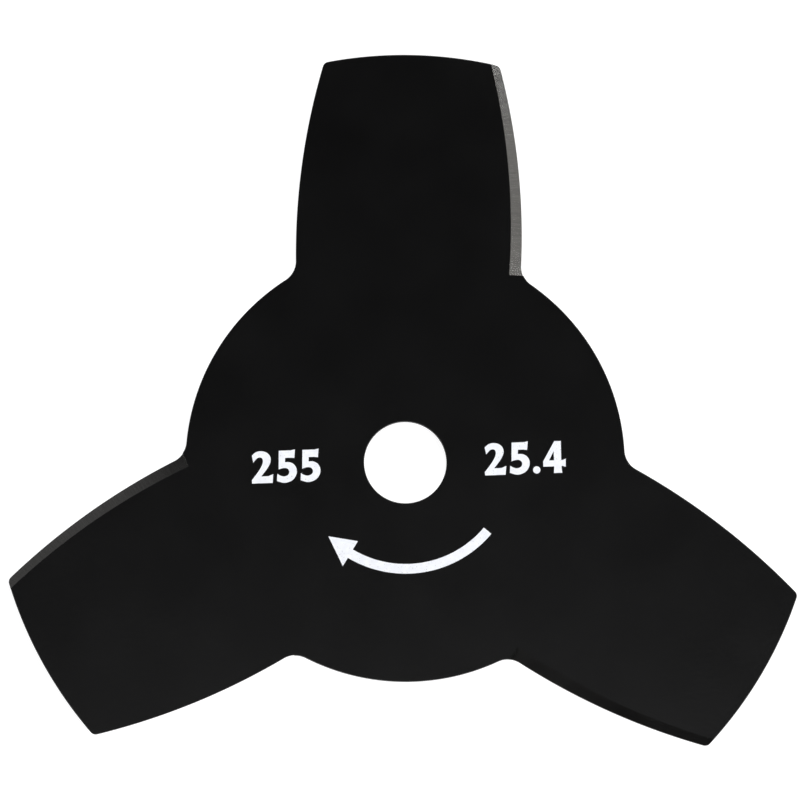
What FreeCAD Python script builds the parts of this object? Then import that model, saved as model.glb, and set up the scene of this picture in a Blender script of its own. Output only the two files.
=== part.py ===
import FreeCAD, Part
import math
import os

# Three-armed cutting blade of a brush cutter, one flat steel plate with ground flanks.
# Sizes are in millimetres. The origin is on the bore's axis at the underside, +Z points
# up through the bore and +Y along the first arm.

# Plate and bore
plate_thickness = 2.0
bore_diameter = 25.4

# Outline: a round middle with equal arms, whose flanks are gentle outward arcs
blade_diameter = 255.0
hub_diameter = 135.5
arm_count = 3
arm_width = 70.0
arm_widest_at = 68.2
arm_tip_width = 54.65
root_fillet_radius = 7.0
tip_corner_radius = 2.0

# Ground flanks: the width of the bright band where the arm is widest and at its tip,
# the slope of the grind against the plate, and how far it runs on into the root fillet.
# The slope is flat enough to leave some of the stamped edge standing below the whole band.
grind_width_widest = 3.5
grind_width_tip = 2.65
grind_angle = 22.0
grind_into_root = 3.1

# How far the cutting shapes stand past the plate
cut_margin = 1.0

UP = FreeCAD.Vector(0, 0, 1)
BORE_CENTRE = FreeCAD.Vector(0, 0, 0)


def crossing(centre_a, radius_a, centre_b, radius_b, side):
    """Where two circles cross, to the left (1) or the right (-1) of the way from a to b."""
    way = centre_b - centre_a
    apart = way.Length
    along = (radius_a**2 - radius_b**2 + apart**2) / (2 * apart)
    aside = side * math.sqrt(radius_a**2 - along**2)
    ahead = way * (1 / apart)
    return centre_a + ahead * along + UP.cross(ahead) * aside


def on_circle(centre, radius, through):
    """The circle's point on the line from its centre through another point."""
    spoke = through - centre
    return centre + spoke * (radius / spoke.Length)


def arc(centre, start, end):
    """The shorter arc about a centre."""
    middle = on_circle(centre, (start - centre).Length, (start + end) * 0.5)
    return Part.Arc(start, middle, end).toShape()


def mirrored(point):
    """The same place on the other side of the first arm."""
    return FreeCAD.Vector(-point.x, point.y, point.z)


# The flank's arc is widest at arm_widest_at and meets the tip circle at arm_tip_width
tip_radius = blade_diameter / 2
hub_radius = hub_diameter / 2
tip_corner_height = math.sqrt(tip_radius**2 - (arm_tip_width / 2) ** 2)
flank_rise = tip_corner_height - arm_widest_at
flank_fall = (arm_width - arm_tip_width) / 2
flank_radius = (flank_rise**2 + flank_fall**2) / (2 * flank_fall)
flank_centre = FreeCAD.Vector(arm_width / 2 - flank_radius, arm_widest_at, 0)

# Centres of the two small arcs, each tangent to the flank and to a circle about the bore
corner_centre = crossing(
    BORE_CENTRE, tip_radius - tip_corner_radius, flank_centre, flank_radius - tip_corner_radius, -1
)
root_centre = crossing(
    BORE_CENTRE, hub_radius + root_fillet_radius, flank_centre, flank_radius + root_fillet_radius, -1
)

hub_end = on_circle(BORE_CENTRE, hub_radius, root_centre)
flank_foot = on_circle(flank_centre, flank_radius, root_centre)
flank_top = on_circle(flank_centre, flank_radius, corner_centre)
tip_end = on_circle(BORE_CENTRE, tip_radius, corner_centre)


def arm_edges():
    """The first arm's outline, from the hub on its left, round the tip, to the hub on its right."""
    return [
        arc(mirrored(root_centre), mirrored(hub_end), mirrored(flank_foot)),
        arc(mirrored(flank_centre), mirrored(flank_foot), mirrored(flank_top)),
        arc(mirrored(corner_centre), mirrored(flank_top), mirrored(tip_end)),
        arc(BORE_CENTRE, mirrored(tip_end), tip_end),
        arc(corner_centre, tip_end, flank_top),
        arc(flank_centre, flank_top, flank_foot),
        arc(root_centre, flank_foot, hub_end),
    ]


def turned(shape, arm):
    """A copy of the shape, moved from the first arm to another one, counted clockwise."""
    copy = shape.copy()
    copy.rotate(BORE_CENTRE, UP, -360.0 * arm / arm_count)
    return copy


def plate():
    """The flat blank with its bore."""
    next_arm = FreeCAD.Rotation(UP, -360.0 / arm_count)
    hub_edge = arc(BORE_CENTRE, hub_end, next_arm.multVec(mirrored(hub_end)))
    edges = []
    for arm in range(arm_count):
        for edge in arm_edges() + [hub_edge]:
            edges.append(turned(edge, arm))
    blank = Part.Face(Part.Wire(edges)).extrude(UP * plate_thickness)
    bore = Part.makeCylinder(
        bore_diameter / 2, plate_thickness + 2 * cut_margin, UP * -cut_margin, UP
    )
    return blank.cut(bore)


def top_grind():
    """What the wheel takes off the first arm's right flank from above: a sloping face swept
    along an arc of the flank's own radius, with a square end in the root fillet."""
    at_widest = FreeCAD.Vector(arm_width / 2 - grind_width_widest, arm_widest_at, 0)
    at_tip = FreeCAD.Vector(arm_tip_width / 2 - grind_width_tip, tip_corner_height, 0)
    sweep_centre = crossing(at_widest, flank_radius, at_tip, flank_radius, 1)
    slope = math.tan(math.radians(grind_angle))
    inner = sweep_centre.x + flank_radius
    top = plate_thickness + cut_margin
    section = [
        (inner - cut_margin / slope, top),
        (inner + top / slope, -cut_margin),
        (inner + top / slope + root_fillet_radius, -cut_margin),
        (inner + top / slope + root_fillet_radius, top),
    ]
    corners = [FreeCAD.Vector(x, sweep_centre.y, z) for x, z in section]
    face = Part.Face(Part.makePolygon(corners + corners[:1]))
    foot_rise = flank_foot.y - grind_into_root - sweep_centre.y
    start = math.degrees(math.asin(foot_rise / flank_radius))
    end = math.degrees(math.asin((tip_radius - sweep_centre.y) / flank_radius))
    face.rotate(sweep_centre, UP, start)
    return face.revolve(sweep_centre, UP, end - start)


def under_grind():
    """The same grind on the left flank from below, as the blade shows it when turned over."""
    wedge = top_grind()
    wedge.rotate(UP * (plate_thickness / 2), FreeCAD.Vector(0, 1, 0), 180)
    return wedge


def blade():
    """The plate with a ground flank on each side of every arm, one from above, one from below."""
    wedges = []
    for arm in range(arm_count):
        wedges.append(turned(top_grind(), arm))
        wedges.append(turned(under_grind(), arm))
    return plate().cut(wedges)


os.makedirs("parts", exist_ok=True)
solid = blade().Solids[0]
solid.exportStep("parts/blade.step")
box = solid.BoundBox
print("blade valid", solid.isValid(), "volume mm3", round(solid.Volume, 1))
print("size", round(box.XLength, 3), round(box.YLength, 3), round(box.ZLength, 3))
print("flank radius", round(flank_radius, 2), "faces", len(solid.Faces))
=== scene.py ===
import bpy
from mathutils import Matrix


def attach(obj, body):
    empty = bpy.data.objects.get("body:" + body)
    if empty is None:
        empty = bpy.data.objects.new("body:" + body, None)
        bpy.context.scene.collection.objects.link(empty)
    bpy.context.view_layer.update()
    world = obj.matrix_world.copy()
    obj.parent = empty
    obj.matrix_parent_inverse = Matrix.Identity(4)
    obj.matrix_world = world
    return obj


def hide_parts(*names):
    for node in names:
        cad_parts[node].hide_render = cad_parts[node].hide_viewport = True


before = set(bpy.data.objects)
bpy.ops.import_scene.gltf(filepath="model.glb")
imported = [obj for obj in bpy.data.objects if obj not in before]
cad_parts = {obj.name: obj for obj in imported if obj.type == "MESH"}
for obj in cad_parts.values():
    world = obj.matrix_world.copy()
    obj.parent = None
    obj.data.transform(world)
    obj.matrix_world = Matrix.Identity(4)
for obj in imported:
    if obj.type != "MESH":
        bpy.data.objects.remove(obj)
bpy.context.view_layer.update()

import math

import bmesh
import bpy
from mathutils import Euler, Matrix, Vector

# The blade
# One plate of rolled spring steel, 2 mm thick, stamped out with three broad arms round a bore.
# The plate is stoved satin black. After that one flank of each arm is ground bare from above
# and its other flank from below. It has no fastenings: the machine's flanges clamp its middle.

# Lengths are in millimetres, and MM turns them into metres
MM = 0.001
UP = Vector((0, 0, 1))
BORE_CENTRE = Vector((0, 0, 0))

plate_thickness = 2.0
bore_diameter = 25.4
blade_diameter = 255.0
hub_diameter = 135.5
arm_count = 3
arm_width = 70.0
arm_widest_at = 68.2
arm_tip_width = 54.65
root_fillet_radius = 7.0
tip_corner_radius = 2.0
stamped_edge_round = 0.18

# The ground bands: their width where the arm is widest and at its tip, their slope against the
# plate, and how far they run on into the root fillet
grind_width_widest = 3.5
grind_width_tip = 2.65
grind_slope = math.tan(math.radians(22))
grind_into_root = 3.1

# How finely the edges are drawn, and how fast the lower rounding comes back to its full size on
# the way from a grind's square end
round_steps = 5
outline_step = 0.6
corner_steps = 14
ground_tip_steps = 6
bore_steps = 160
round_regain = 0.1

# The turn from which an edge shows as sharp, and, in metres, how near two corners are the same
# corner, and two heights the same height
sharp_turn = math.radians(25)
weld_reach = 0.000001
same_height = 0.0000001


def crossing(centre_a, radius_a, centre_b, radius_b, side):
    """Where two circles cross, to the left (1) or the right (-1) of the way from a to b."""
    way = centre_b - centre_a
    along = (radius_a**2 - radius_b**2 + way.length_squared) / (2 * way.length)
    aside = side * math.sqrt(radius_a**2 - along**2)
    ahead = way.normalized()
    return centre_a + ahead * along + UP.cross(ahead) * aside


def on_circle(centre, radius, through):
    """The circle's point on the line from its centre through another point."""
    return centre + (through - centre).normalized() * radius


def edge_arc(centre, start, end, steps, hollow=False):
    """Points along an arc of the outline, each with the way out of the plate."""
    places = []
    spin = 1 if (start - centre).cross(end - centre).z > 0 else -1
    whole_turn = spin * (start - centre).angle(end - centre)
    for step in range(steps + 1):
        turn = Matrix.Rotation(whole_turn * step / steps, 3, "Z")
        point = centre + turn @ (start - centre)
        out = (point - centre).normalized()
        places.append((point, -out if hollow else out))
    return places


tip_radius = blade_diameter / 2
hub_radius = hub_diameter / 2
tip_corner_height = math.sqrt(tip_radius**2 - (arm_tip_width / 2) ** 2)
flank_rise = tip_corner_height - arm_widest_at
flank_fall = (arm_width - arm_tip_width) / 2
flank_radius = (flank_rise**2 + flank_fall**2) / (2 * flank_fall)
flank_centre = Vector((arm_width / 2 - flank_radius, arm_widest_at, 0))
corner_centre = crossing(
    BORE_CENTRE, tip_radius - tip_corner_radius, flank_centre, flank_radius - tip_corner_radius, -1
)
root_centre = crossing(
    BORE_CENTRE, hub_radius + root_fillet_radius, flank_centre, flank_radius + root_fillet_radius, -1
)
hub_end = on_circle(BORE_CENTRE, hub_radius, root_centre)
flank_foot = on_circle(flank_centre, flank_radius, root_centre)
flank_top = on_circle(flank_centre, flank_radius, corner_centre)
tip_end = on_circle(BORE_CENTRE, tip_radius, corner_centre)

# The grinding wheel's way past the flank: an arc of the flank's own radius, from a square end in
# the root fillet to the tip
at_widest = Vector((arm_width / 2 - grind_width_widest, arm_widest_at, 0))
at_tip = Vector((arm_tip_width / 2 - grind_width_tip, tip_corner_height, 0))
sweep_centre = crossing(at_widest, flank_radius, at_tip, flank_radius, 1)
grind_start = math.asin((flank_foot.y - grind_into_root - sweep_centre.y) / flank_radius)
grind_end_way = Vector((math.cos(grind_start), math.sin(grind_start), 0))
grind_tip = crossing(BORE_CENTRE, tip_radius, sweep_centre, flank_radius, -1)


def rounding(size, step):
    """How far a rounded stamped edge is set in, and how far it has dropped, at one step of it."""
    lean = math.pi / 2 * step / round_steps
    return size * (1 - math.sin(lean)), size * (1 - math.cos(lean))


def stamped_section(point, out, lower_round=stamped_edge_round):
    """Points down a plain stamped edge, whose upper and lower corners are rounded."""
    upper = []
    lower = []
    for step in range(round_steps + 1):
        inset, drop = rounding(stamped_edge_round, step)
        upper.append(point - out * inset + UP * (plate_thickness - drop))
        inset, drop = rounding(lower_round, step)
        lower.append(point - out * inset + UP * drop)
    return upper + lower[::-1]


def ground_section(point, out):
    """Points down a ground flank: the bare slope, then what is left of the stamped edge."""
    spoke = point - sweep_centre
    width = spoke.length - flank_radius
    spoke.normalize()
    fall = width * grind_slope
    slope = []
    for step in range(round_steps + 1):
        share = step / round_steps
        inner = sweep_centre + spoke * (flank_radius + width * share)
        slope.append(inner + UP * (plate_thickness - fall * share))
    left_over = plate_thickness - fall
    lower_round = min(stamped_edge_round, left_over / 2)
    return slope + stamped_section(point, out, lower_round)[round_steps + 1 :]


def half_arm():
    """Sections from the middle of the tip, down the upper ground flank, to the next hollow."""
    tip_middle = Vector((0, tip_radius, 0))
    between_arms = Vector((math.sqrt(3), 1, 0))
    hub_middle = on_circle(BORE_CENTRE, hub_radius, between_arms)

    # The grind's square end stands where its line meets the root fillet
    along = grind_end_way.dot(root_centre - sweep_centre)
    aside = (root_centre - sweep_centre - grind_end_way * along).length
    reach = along - math.sqrt(root_fillet_radius**2 - aside**2)
    wall_foot = sweep_centre + grind_end_way * reach
    wall_out = grind_end_way / grind_end_way.dot((root_centre - wall_foot).normalized())
    wall_round = (plate_thickness - (reach - flank_radius) * grind_slope) / 2

    tip_steps = round((grind_tip - tip_middle).length / outline_step)
    plain_tip = edge_arc(BORE_CENTRE, tip_middle, grind_tip, tip_steps)
    ground_edge = edge_arc(BORE_CENTRE, grind_tip, tip_end, ground_tip_steps)
    ground_edge += edge_arc(corner_centre, tip_end, flank_top, corner_steps)[1:]
    flank_steps = round((flank_foot - flank_top).length / outline_step)
    ground_edge += edge_arc(flank_centre, flank_top, flank_foot, flank_steps)[1:]
    ground_edge += edge_arc(root_centre, flank_foot, wall_foot, corner_steps, hollow=True)[1:-1]
    plain_root = edge_arc(root_centre, wall_foot, hub_end, corner_steps, hollow=True)[1:]
    hub_steps = round((hub_middle - hub_end).length / outline_step)
    plain_hub = edge_arc(BORE_CENTRE, hub_end, hub_middle, hub_steps)[1:]

    sections = [("plain", stamped_section(*place)) for place in plain_tip[:-1]]
    sections += [("ground", ground_section(*place)) for place in ground_edge]
    sections += [("ground", ground_section(wall_foot, wall_out))]
    sections += [("wall", stamped_section(wall_foot, wall_out, wall_round))]
    for point, out in plain_root + plain_hub:
        from_wall = (point - wall_foot).length
        lower_round = min(stamped_edge_round, wall_round + round_regain * from_wall)
        sections.append(("plain", stamped_section(point, out, lower_round)))
    return sections


def turned_over(section):
    """The same section on the arm's other flank, where the grind is on the underside."""
    return [Vector((-p.x, p.y, plate_thickness - p.z)) for p in reversed(section)]


def blade_outline():
    """All sections in turn, clockwise from above, each with its kind and its arm."""
    half = half_arm()
    ring = []
    for arm in range(arm_count):
        turn = Matrix.Rotation(math.radians(-360 * arm / arm_count), 3, "Z")
        # An arm's left flank is its right one turned over, and is met from the other end
        for kind, section in half[:0:-1]:
            name = "under" if kind == "ground" else kind
            ring.append((name, arm, [turn @ p for p in turned_over(section)]))
        for kind, section in half[:-1]:
            name = "upper" if kind == "ground" else kind
            ring.append((name, arm, [turn @ p for p in section]))
    return ring


# The blade's finishes, in the order in which it is given them
COAT, STEEL, STAMPED = 0, 1, 2

# How far apart the bands lie in the pattern of grinding lines, so that each has its own lines
next_band = 90
under_band = 300


def grinding_place(point, arm, kind):
    """Where a point lies on its ground band: how far along the flank and how far across."""
    base = Matrix.Rotation(math.radians(360 * arm / arm_count), 3, "Z") @ point
    if kind == "under":
        base = Vector((-base.x, base.y, plate_thickness - base.z))
    spoke = Vector((base.x, base.y, 0)) - sweep_centre
    along = flank_radius * math.atan2(spoke.y, spoke.x)
    along += next_band * arm + under_band * (kind == "under")
    return along * MM, (spoke.length - flank_radius) * MM


def join_ring(shape, ring, grinding):
    """Faces between the sections of a closed ring, and the square walls that end the grinds."""
    rows = [[shape.verts.new(p * MM) for p in section] for _, _, section in ring]
    last_step = len(rows[0]) - 1
    for here in range(len(ring)):
        there = (here + 1) % len(ring)
        kind, arm, _ = ring[here]
        next_kind = ring[there][0]
        if {kind, next_kind} in ({"upper", "wall"}, {"under", "wall"}):
            face = shape.faces.new(rows[here] + rows[there][::-1])
            face.material_index = STEEL
            continue
        bare = {"upper": range(round_steps), "under": range(round_steps + 1, last_step)}
        for step in range(last_step):
            corners = [rows[here][step], rows[here][step + 1]]
            corners += [rows[there][step + 1], rows[there][step]]
            face = shape.faces.new(corners)
            face.material_index = COAT
            if step == round_steps:
                face.material_index = STAMPED
            if kind == next_kind and step in bare.get(kind, ()):
                face.material_index = STEEL
                for loop in face.loops:
                    loop[grinding].uv = grinding_place(loop.vert.co / MM, arm, kind)


def close_faces(shape, height):
    """The plate's flat face at one height, between the outline and the bore."""
    rim = [
        edge
        for edge in shape.edges
        if edge.is_boundary and all(abs(v.co.z - height * MM) < same_height for v in edge.verts)
    ]
    made = bmesh.ops.triangle_fill(shape, use_beauty=True, edges=rim)
    return [g for g in made["geom"] if isinstance(g, bmesh.types.BMFace)]


def blade_mesh():
    """The whole plate: its outline, its bore and the two flat faces between them."""
    shape = bmesh.new()
    grinding = shape.loops.layers.uv.new("grinding")
    join_ring(shape, blade_outline(), grinding)
    bore = []
    for step in range(bore_steps):
        angle = 2 * math.pi * step / bore_steps
        spoke = Vector((math.cos(angle), math.sin(angle), 0))
        bore.append(("plain", 0, stamped_section(spoke * bore_diameter / 2, -spoke)))
    join_ring(shape, bore, grinding)
    bmesh.ops.remove_doubles(shape, verts=shape.verts, dist=weld_reach)
    flats = set(close_faces(shape, plate_thickness) + close_faces(shape, 0))
    bmesh.ops.recalc_face_normals(shape, faces=shape.faces)
    for face in shape.faces:
        face.smooth = True
    for edge in shape.edges:
        beside_flat = len([f for f in edge.link_faces if f in flats]) == 1
        if beside_flat or edge.calc_face_angle(0) > sharp_turn:
            edge.smooth = False
    mesh = bpy.data.meshes.new("stamped_blade")
    shape.to_mesh(mesh)
    shape.free()
    return mesh


# Nearly all of a noise lies between these two
noise_low = 0.3
noise_high = 0.7


def new_finish(name):
    """An empty finish: its nodes and its shader."""
    finish = bpy.data.materials.new(name)
    finish.use_nodes = True
    return finish, finish.node_tree, finish.node_tree.nodes["Principled BSDF"]


def add(tree, kind, inputs, **settings):
    """One node of a finish. Each input is a value, or the output that it is joined to."""
    node = tree.nodes.new("ShaderNode" + kind)
    for name, value in settings.items():
        setattr(node, name, value)
    for name, value in inputs.items():
        if isinstance(value, bpy.types.NodeSocket):
            tree.links.new(value, node.inputs[name])
        else:
            node.inputs[name].default_value = value
    return node


def spread(tree, value, low, high, to_low, to_high):
    """A value's range, stretched to another range."""
    node = add(
        tree,
        "MapRange",
        {"Value": value, "From Min": low, "From Max": high, "To Min": to_low, "To Max": to_high},
    )
    return node.outputs["Result"]


def vary(tree, noise, to_low, to_high):
    """A noise's usual range, stretched to another range."""
    return spread(tree, noise, noise_low, noise_high, to_low, to_high)


def blend_of(tree, share, first, second):
    """A colour between two others, by the Mix node's sockets for colours."""
    node = add(tree, "Mix", {0: share, 6: first, 7: second}, data_type="RGBA")
    return node.outputs[2]


def black_coat():
    """Stoved satin black: a fine orange peel, and a tone and matt that vary a little."""
    finish, tree, shader = new_finish("black_coat_finish")
    place = add(tree, "TexCoord", {}).outputs["Object"]
    peel = add(tree, "TexNoise", {"Vector": place, "Scale": 900.0, "Detail": 2.0}).outputs["Fac"]
    grain = add(tree, "TexNoise", {"Vector": place, "Scale": 4200.0, "Detail": 2.0}).outputs["Fac"]
    cloud = add(tree, "TexNoise", {"Vector": place, "Scale": 45.0, "Detail": 5.0}).outputs["Fac"]
    matt = vary(tree, cloud, 0.226, 0.25)
    matt = add(tree, "Math", {0: vary(tree, grain, -0.012, 0.012), 1: matt}).outputs[0]
    tone = vary(tree, cloud, 0.0, 1.0)
    colour = blend_of(tree, tone, (0.0011, 0.0011, 0.0012, 1), (0.0016, 0.0016, 0.0017, 1))
    tree.links.new(colour, shader.inputs["Base Color"])
    tree.links.new(matt, shader.inputs["Roughness"])
    shader.inputs["IOR"].default_value = 1.42
    fine = add(tree, "Bump", {"Strength": 1.0, "Distance": 0.000003, "Height": grain})
    coarse = add(
        tree,
        "Bump",
        {"Strength": 1.0, "Distance": 0.000012, "Height": peel, "Normal": fine.outputs[0]},
    )
    tree.links.new(coarse.outputs[0], shader.inputs["Normal"])
    return finish


def stamped_coat():
    """The same coat on the stamped edge: dull over the torn steel, with streaks down the edge."""
    finish, tree, shader = new_finish("stamped_coat_finish")
    place = add(tree, "TexCoord", {}).outputs["Object"]
    down = add(tree, "Mapping", {"Vector": place, "Scale": (2600.0, 2600.0, 160.0)}).outputs[0]
    torn = add(tree, "TexNoise", {"Vector": place, "Scale": 3000.0, "Detail": 4.0}).outputs["Fac"]
    streak = add(tree, "TexNoise", {"Vector": down, "Scale": 1.0, "Detail": 3.0}).outputs["Fac"]

    # The upper part of the edge is sheared smooth and the rest is torn, and their border wavers
    height = add(tree, "SeparateXYZ", {"Vector": place}).outputs["Z"]
    height = add(tree, "Math", {0: streak, 1: 0.0012, 2: height}, operation="MULTIPLY_ADD").outputs[0]
    sheared = spread(tree, height, low=0.0018, high=0.0020, to_low=0.0, to_high=1.0)
    colour = blend_of(tree, torn, (0.004, 0.004, 0.004, 1), (0.014, 0.014, 0.014, 1))
    tree.links.new(colour, shader.inputs["Base Color"])
    matt = spread(tree, sheared, low=0.0, high=1.0, to_low=0.62, to_high=0.42)
    tree.links.new(matt, shader.inputs["Roughness"])
    shader.inputs["IOR"].default_value = 1.42
    shader.inputs["Specular IOR Level"].default_value = 0.2
    lines = add(tree, "Bump", {"Strength": 1.0, "Distance": 0.00001, "Height": streak})
    pits = add(
        tree,
        "Bump",
        {
            "Strength": spread(tree, sheared, low=0.0, high=1.0, to_low=1.0, to_high=0.15),
            "Distance": 0.00004,
            "Height": torn,
            "Normal": lines.outputs[0],
        },
    )
    tree.links.new(pits.outputs[0], shader.inputs["Normal"])
    return finish


def ground_steel():
    """Bare spring steel fresh from the wheel, with fine lines across the band."""
    finish, tree, shader = new_finish("ground_steel_finish")
    place = add(tree, "UVMap", {}, uv_map="grinding").outputs["UV"]
    fine_way = add(tree, "Mapping", {"Vector": place, "Scale": (7000.0, 350.0, 1.0)}).outputs[0]
    broad_way = add(tree, "Mapping", {"Vector": place, "Scale": (1500.0, 120.0, 1.0)}).outputs[0]
    patch_way = add(tree, "Mapping", {"Vector": place, "Scale": (90.0, 60.0, 1.0)}).outputs[0]
    fine = add(tree, "TexNoise", {"Vector": fine_way, "Scale": 1.0, "Detail": 4.0}).outputs["Fac"]
    broad = add(tree, "TexNoise", {"Vector": broad_way, "Scale": 1.0, "Detail": 3.0}).outputs["Fac"]
    patch = add(tree, "TexNoise", {"Vector": patch_way, "Scale": 1.0, "Detail": 3.0}).outputs["Fac"]
    tone = add(tree, "Math", {0: fine, 1: broad}, operation="MULTIPLY").outputs[0]
    tone = spread(tree, tone, low=0.12, high=0.4, to_low=0.0, to_high=1.0)
    colour = blend_of(tree, tone, (0.46, 0.452, 0.44, 1), (0.62, 0.612, 0.6, 1))
    tree.links.new(colour, shader.inputs["Base Color"])
    shader.inputs["Metallic"].default_value = 1.0
    tree.links.new(vary(tree, patch, 0.145, 0.17), shader.inputs["Roughness"])
    lines = add(tree, "Bump", {"Strength": 1.0, "Distance": 0.0000025, "Height": fine})
    tracks = add(
        tree,
        "Bump",
        {"Strength": 1.0, "Distance": 0.000006, "Height": broad, "Normal": lines.outputs[0]},
    )
    tree.links.new(tracks.outputs[0], shader.inputs["Normal"])
    return finish


blade = bpy.data.objects.new("stamped_blade", blade_mesh())
bpy.context.scene.collection.objects.link(blade)
for finish in (black_coat(), ground_steel(), stamped_coat()):
    blade.data.materials.append(finish)
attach(blade, "root")
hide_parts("blade")

# The printed sizes
# Two plain numbers in white ink, screen printed on the stoved coat on either side of the bore:
# the blade's diameter on the left and the bore's on the right, both in millimetres, in heavy
# signs with flared ends.

number_height = 9.9
number_reach = 36.9
drawn_height = 10
sign_gap = 0.95
bend_steps = 8
point_radius = 1.15
point_steps = 24

# The film's lower face lies a little inside the coat, so no gap shows, and the whole print is
# turned a little against the arms
ink_thickness = 0.03
ink_sunk = 0.02
print_turn = math.radians(3.1)

# Each sign's rim is drawn as if the sign were drawn_height high, in runs of places: a run of one
# place is a sharp corner, and a longer run is a smooth bend
signs = {
    "2": [
        [
            [(0.35, 8.75), (1.6, 9.75), (3.2, 10.05), (4.8, 9.65)]
            + [(5.9, 8.6), (6.2, 7.2), (5.75, 5.75), (4.75, 4.2)],
            [(3.05, 2.15)],
            [(5.3, 2.15)],
            [(6.85, 2.75)],
            [(6.55, 0.0)],
            [(0.15, 0.0)],
            [(0.15, 1.1), (1.3, 2.5), (2.45, 4.0), (3.35, 5.5)]
            + [(3.75, 6.85), (3.5, 7.8), (2.75, 8.1), (1.85, 7.75)],
            [(0.75, 6.55)],
        ]
    ],
    "5": [
        [
            [(1.0, 10.0)],
            [(4.7, 10.0)],
            [(6.05, 10.25)],
            [(5.75, 7.55)],
            [(4.5, 7.7)],
            [(2.9, 7.7)],
            [(2.8, 6.35), (4.15, 6.3), (5.35, 5.75), (6.15, 4.7), (6.4, 3.4)]
            + [(6.05, 2.0), (5.1, 0.8), (3.75, 0.1), (2.1, -0.1)],
            [(0.1, 0.55)],
            [(0.3, 2.8), (1.2, 2.2), (2.3, 1.9), (3.35, 2.15), (3.95, 2.8)]
            + [(4.0, 3.6), (3.5, 4.3), (2.6, 4.55), (1.6, 4.4)],
            [(0.75, 4.1)],
        ]
    ],
    "4": [
        [
            [(3.7, 10.0)],
            [(5.75, 10.0)],
            [(5.65, 4.0)],
            [(6.1, 4.0)],
            [(7.1, 4.4)],
            [(6.95, 1.85)],
            [(6.1, 2.1)],
            [(5.65, 2.1)],
            [(5.85, 0.0)],
            [(3.2, 0.0)],
            [(3.4, 2.1)],
            [(0.0, 2.1)],
            [(0.0, 3.75)],
        ],
        [[(3.4, 4.0)], [(3.4, 6.9)], [(1.85, 4.0)]],
    ],
    ".": [
        [
            [
                (
                    point_radius * (1 + math.cos(math.tau * step / point_steps)),
                    point_radius * (1 + math.sin(math.tau * step / point_steps)),
                )
            ]
            for step in range(point_steps)
        ]
    ],
}


def white_ink():
    """Dense white ink with tiny pinholes and a faint cool tone."""
    finish, tree, shader = new_finish("white_print_finish")
    place = add(tree, "TexCoord", {}).outputs["Object"]
    cloud = add(tree, "TexNoise", {"Vector": place, "Scale": 500.0, "Detail": 3.0}).outputs["Fac"]
    holes = add(tree, "TexNoise", {"Vector": place, "Scale": 3200.0, "Detail": 1.0}).outputs["Fac"]
    holes = spread(tree, holes, low=0.70, high=0.76, to_low=0.0, to_high=0.8)
    tone = vary(tree, cloud, 0.0, 1.0)
    tone = blend_of(tree, tone, (0.74, 0.76, 0.81, 1), (0.82, 0.84, 0.88, 1))
    colour = blend_of(tree, holes, tone, (0.05, 0.05, 0.052, 1))
    tree.links.new(colour, shader.inputs["Base Color"])
    tree.links.new(vary(tree, cloud, 0.45, 0.6), shader.inputs["Roughness"])
    bump = add(tree, "Bump", {"Strength": 1.0, "Distance": 0.000005, "Height": cloud})
    tree.links.new(bump.outputs[0], shader.inputs["Normal"])
    return finish


ink = white_ink()


def print_on_blade(name, flat, shift=(0, 0)):
    """A film of ink on the blade's upper face, from a flat shape in metres."""
    shape = bmesh.new()
    shape.from_mesh(flat)
    bmesh.ops.remove_doubles(shape, verts=shape.verts, dist=weld_reach)
    floor = (plate_thickness - ink_sunk) * MM
    for vertex in shape.verts:
        vertex.co += Vector((shift[0] * MM, shift[1] * MM, floor))
    rim = [edge for edge in shape.edges if edge.is_boundary]
    flat_faces = shape.faces[:]
    raised = {}
    for vertex in shape.verts[:]:
        raised[vertex] = shape.verts.new(vertex.co + UP * (ink_thickness + ink_sunk) * MM)
    for face in flat_faces:
        shape.faces.new([raised[vertex] for vertex in face.verts])
    for edge in rim:
        start, end = edge.verts
        shape.faces.new((start, end, raised[end], raised[start]))
    bmesh.ops.rotate(shape, verts=shape.verts, matrix=Matrix.Rotation(print_turn, 3, "Z"))
    bmesh.ops.recalc_face_normals(shape, faces=shape.faces)
    mesh = bpy.data.meshes.new(name)
    shape.to_mesh(mesh)
    shape.free()
    piece = bpy.data.objects.new(name, mesh)
    bpy.context.scene.collection.objects.link(piece)
    mesh.materials.append(ink)
    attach(piece, "root")


def smooth_rim(runs):
    """The places round a rim, with each of its longer runs bent smoothly."""
    rim = []
    for here, run in enumerate(runs):
        if len(run) == 1:
            rim.append(Vector(run[0]))
            continue
        stops = [Vector(place) for place in run + [runs[(here + 1) % len(runs)][0]]]
        stops = stops[:1] + stops + stops[-1:]
        for before, start, end, after in zip(stops, stops[1:], stops[2:], stops[3:]):
            for step in range(bend_steps):
                share = step / bend_steps
                bend = 2 * start + (end - before) * share
                bend += (2 * before - 5 * start + 4 * end - after) * share**2
                bend += (3 * start - before - 3 * end + after) * share**3
                rim.append(bend / 2)
    return rim


def number_shape(number):
    """The flat shape of a number, centred."""
    unit = number_height * MM / drawn_height
    half_height = drawn_height / 2
    shape = bmesh.new()
    left = 0
    for sign in number:
        rims = [smooth_rim(runs) for runs in signs[sign]]
        for rim in rims:
            corners = [
                shape.verts.new(((left + place.x) * unit, (place.y - half_height) * unit, 0))
                for place in rim
            ]
            for here, corner in enumerate(corners):
                shape.edges.new((corners[here - 1], corner))
        left += max(place.x for place in rims[0]) + sign_gap
    middle = (left - sign_gap) * unit / 2
    bmesh.ops.translate(shape, verts=shape.verts, vec=Vector((-middle, 0, 0)))
    bmesh.ops.triangle_fill(shape, use_beauty=True, edges=shape.edges)
    flat = bpy.data.meshes.new("number")
    shape.to_mesh(flat)
    shape.free()
    return flat


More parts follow.
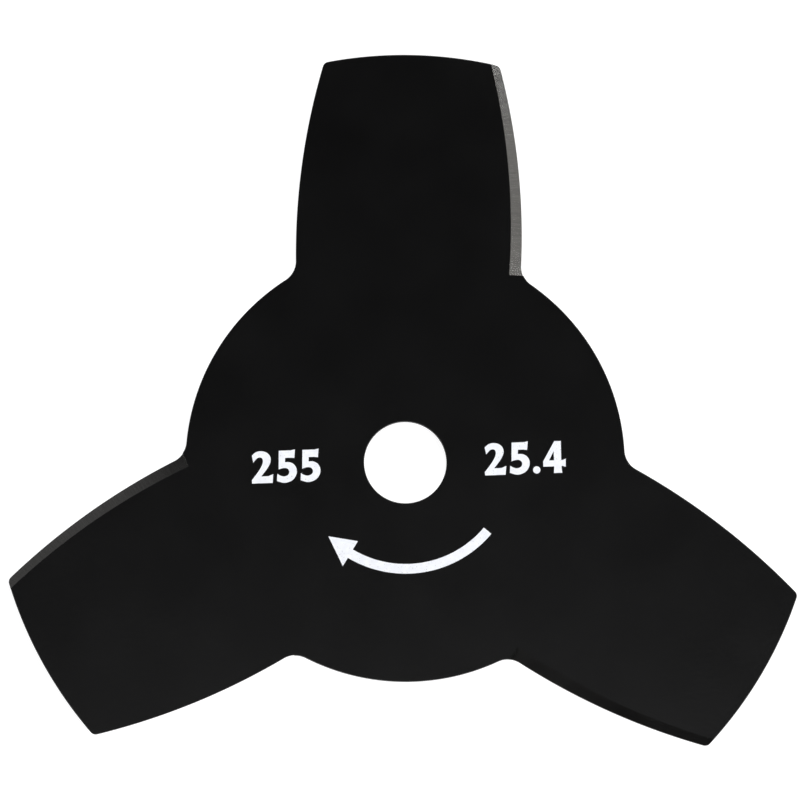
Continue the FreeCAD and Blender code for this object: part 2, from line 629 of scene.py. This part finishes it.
print_on_blade("printed_diameter", number_shape("255"), shift=(-number_reach, 0.0))
print_on_blade("printed_bore_size", number_shape("25.4"), shift=(number_reach, 0.0))

# The printed turning arrow
# A plain curved arrow in the same ink, centred on the bore, on the side away from the first arm.
# It shows which way the blade turns: clockwise from above, so that the flanks ground from above
# cut.

arrow_radius = 33.0
arrow_band = 3.0
arrow_half_turn = math.radians(48)
arrow_head_turn = math.radians(15)
arrow_head_width = 9.0
arrow_steps = 72
away_from_arm = math.radians(-90)


def arrow_shape():
    """The flat shape of the arrow, its head to the left."""
    tail = away_from_arm + arrow_half_turn
    neck = away_from_arm - arrow_half_turn + arrow_head_turn
    point = away_from_arm - arrow_half_turn

    def at(radius, angle):
        return Vector((radius * math.cos(angle), radius * math.sin(angle), 0)) * MM

    sweep = [tail + (neck - tail) * step / arrow_steps for step in range(arrow_steps + 1)]
    rim = [at(arrow_radius + arrow_band / 2, angle) for angle in sweep]
    rim.append(at(arrow_radius + arrow_head_width / 2, neck))
    rim.append(at(arrow_radius, point))
    rim.append(at(arrow_radius - arrow_head_width / 2, neck))
    rim += [at(arrow_radius - arrow_band / 2, angle) for angle in reversed(sweep)]
    flat = bpy.data.meshes.new("arrow")
    flat.from_pydata(rim, [], [range(len(rim))])
    return flat


print_on_blade("printed_arrow", arrow_shape())

# The light table
# A wide sheet of white opal acrylic that the blade lies flat on. It is lit evenly from below, so
# the ground round the blade comes out plain white and shows hardly any shadow.

table_reach = 4.0
table_mesh = bpy.data.meshes.new("light_table")
table_mesh.from_pydata(
    [
        (-table_reach, -table_reach, 0),
        (table_reach, -table_reach, 0),
        (table_reach, table_reach, 0),
        (-table_reach, table_reach, 0),
    ],
    [],
    [(0, 1, 2, 3)],
)
table = bpy.data.objects.new("light_table", table_mesh)
bpy.context.scene.collection.objects.link(table)
opal, _, opal_shader = new_finish("opal_acrylic")
opal_shader.inputs["Base Color"].default_value = (0.35, 0.35, 0.35, 1)
opal_shader.inputs["Roughness"].default_value = 0.8
opal_shader.inputs["Specular IOR Level"].default_value = 0.2
opal_shader.inputs["Emission Color"].default_value = (1, 1, 1, 1)
opal_shader.inputs["Emission Strength"].default_value = 0.82
table_mesh.materials.append(opal)

# The studio lights
# Soft boxes on the left, on the right and at the back stand low, clear of what the plate and the
# ground bands mirror to the camera. Grey cards between them light the bands, and a pale card above
# gives the coat its soft sheen towards the front. The room is grey up to the height of the boxes.


def soft_box(name, around, above, size, strength, distance=2.0, tint=(1, 1, 1)):
    """A flat soft light that faces the blade, with its strength in watts per square metre.

    Around is counted from +X, anticlockwise, and above from the table, both in degrees.
    """
    lamp = bpy.data.lights.new(name, "AREA")
    lamp.shape = "RECTANGLE"
    lamp.size, lamp.size_y = size
    lamp.energy = strength * size[0] * size[1]
    lamp.color = tint
    place = bpy.data.objects.new(name, lamp)
    turn = math.radians(around)
    rise = math.radians(above)
    way = Vector((math.cos(turn) * math.cos(rise), math.sin(turn) * math.cos(rise), math.sin(rise)))
    place.location = way * distance
    place.rotation_euler = way.to_track_quat("Z", "Y").to_euler()
    bpy.context.scene.collection.objects.link(place)


soft_box("soft_box_left", around=201, above=26, size=(0.9, 0.8), strength=39.5)
soft_box("soft_box_right", around=344, above=28, size=(1.2, 0.8), strength=27.7)
soft_box("soft_box_back", around=60, above=42.5, size=(1.2, 0.8), strength=29.0)
soft_box(
    "grey_card_right", around=13, above=45.5, size=(0.8, 0.8), strength=0.61, tint=(1.0, 0.98, 0.94)
)
soft_box("grey_card_back", around=134, above=43, size=(0.8, 0.8), strength=0.19)
soft_box("grey_card_front", around=327, above=56, size=(0.8, 0.8), strength=1.0)
soft_box("grey_card_left", around=170, above=42, size=(1.2, 1.2), strength=1.0)
soft_box("pale_card_above", around=276, above=79, size=(0.98, 0.98), strength=5.0, distance=2.6)

# Close to the floor the room is as pale as the table, so the table's far rim hardly shows. From
# there up to the boxes' height its walls are grey, and it is dark overhead.
room = bpy.data.worlds.new("room")
room.use_nodes = True
bpy.context.scene.world = room
room_tree = room.node_tree
direction = add(room_tree, "TexCoord", {}).outputs["Generated"]
height = add(room_tree, "SeparateXYZ", {"Vector": direction}).outputs["Z"]
skirting = spread(room_tree, height, low=0.06, high=0.2, to_low=0.95, to_high=0.0)
walls = spread(room_tree, height, low=0.44, high=0.62, to_low=0.25, to_high=0.004)
glow = add(room_tree, "Math", {0: skirting, 1: walls}, operation="MAXIMUM")
room_tree.links.new(glow.outputs[0], room_tree.nodes["Background"].inputs["Strength"])
room_tree.nodes["Background"].inputs["Color"].default_value = (1, 1, 1, 1)
bpy.context.scene.view_settings.view_transform = "Standard"

# The camera
# It stands where the photograph's camera is taken to have stood, about two metres above the blade,
# and a little in front of it and to its left. Its long lens fills the picture with the blade.

camera_turn = (7.2753, -1.1119, 0.9541)

camera_data = bpy.data.cameras.new("camera")
camera_data.lens = 291.6
camera_data.sensor_width = 36.0
camera = bpy.data.objects.new("camera", camera_data)
camera.location = (-0.03624, -0.23455, 1.98546)
camera.rotation_euler = Euler([math.radians(turn) for turn in camera_turn])
bpy.context.scene.collection.objects.link(camera)
bpy.context.scene.camera = camera
